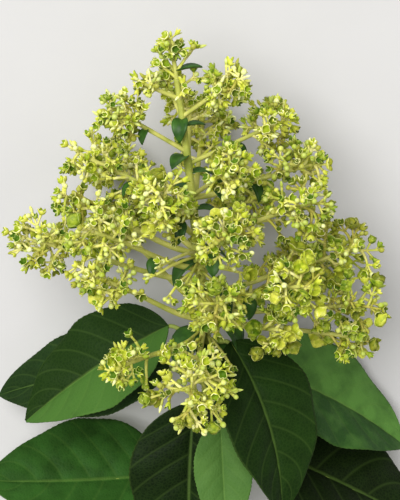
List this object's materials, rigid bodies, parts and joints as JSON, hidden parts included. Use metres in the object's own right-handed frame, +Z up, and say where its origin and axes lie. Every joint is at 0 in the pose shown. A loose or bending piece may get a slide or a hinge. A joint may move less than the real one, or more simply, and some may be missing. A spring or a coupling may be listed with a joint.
{
  "type": "panicle hydrangea",
  "caption": "Cut stem of panicle hydrangea with a cone-shaped flower head still in green bud and broad pointed leaves, laid on its back.",
  "frame": {"origin": "on the table, under the middle of the plant's bounding box", "axes": "+Y along the stem from its cut end to the tip of the flower head, +Z up from the table, +X to the right of a viewer who looks down on it"},
  "size_m": [0.1944, 0.2328, 0.1337],
  "materials": {
    "stem": "green bark, slightly waxy, roughness 0.6",
    "buds": "smooth waxy buds and cups, roughness 0.55",
    "leaf": "leaf with a soft sheen, roughness 0.5"
  },
  "bodies": {
    "root": {"main_stem": "stem", "cluster_crown_left": "buds", "cluster_crown_right": "buds", "cluster_crown_back": "buds", "cluster_upper_left": "buds", "cluster_upper_right": "buds", "cluster_upper_back": "buds", "branch_shoulder_right": "stem", "cluster_shoulder_right": "buds", "cluster_shoulder_front": "buds", "branch_shoulder_left": "stem", "cluster_shoulder_left": "buds", "branch_shoulder_back": "stem", "cluster_shoulder_back": "buds", "branch_middle_front": "stem", "cluster_middle_front": "buds", "branch_middle_right": "stem", "cluster_middle_right": "buds", "branch_middle_left": "stem", "cluster_middle_left": "buds", "branch_middle_floor": "stem", "cluster_middle_floor": "buds", "branch_waist_left": "stem", "cluster_waist_left": "buds", "branch_waist_front": "stem", "cluster_waist_front": "buds", "branch_waist_right": "stem", "cluster_waist_right": "buds", "branch_waist_floor": "stem", "cluster_waist_floor": "buds", "branch_skirt_mid": "stem", "cluster_skirt_mid": "buds", "branch_skirt_left": "stem", "cluster_skirt_left": "buds", "branch_skirt_floor": "stem", "cluster_skirt_floor": "buds", "branch_skirt_front": "stem", "cluster_skirt_front": "buds", "branch_skirt_right": "stem", "cluster_skirt_right": "buds", "branch_foot_left": "stem", "cluster_foot_left": "buds", "branch_foot_floor": "stem", "cluster_foot_floor": "buds", "branch_foot_mid": "stem", "cluster_foot_mid": "buds", "branch_foot_right": "stem", "cluster_foot_right": "buds", "cluster_foot_low": "buds", "branch_foot_front": "stem", "cluster_foot_front": "buds", "cluster_tip": "buds", "leaf_left": "leaf", "leaf_right": "leaf", "leaf_far_right": "leaf", "leaf_far_left": "leaf", "leaf_front": "leaf", "leaf_low_right": "leaf", "leaf_low_left": "leaf", "leaf_young": "leaf"}
  },
  "joints": []
}
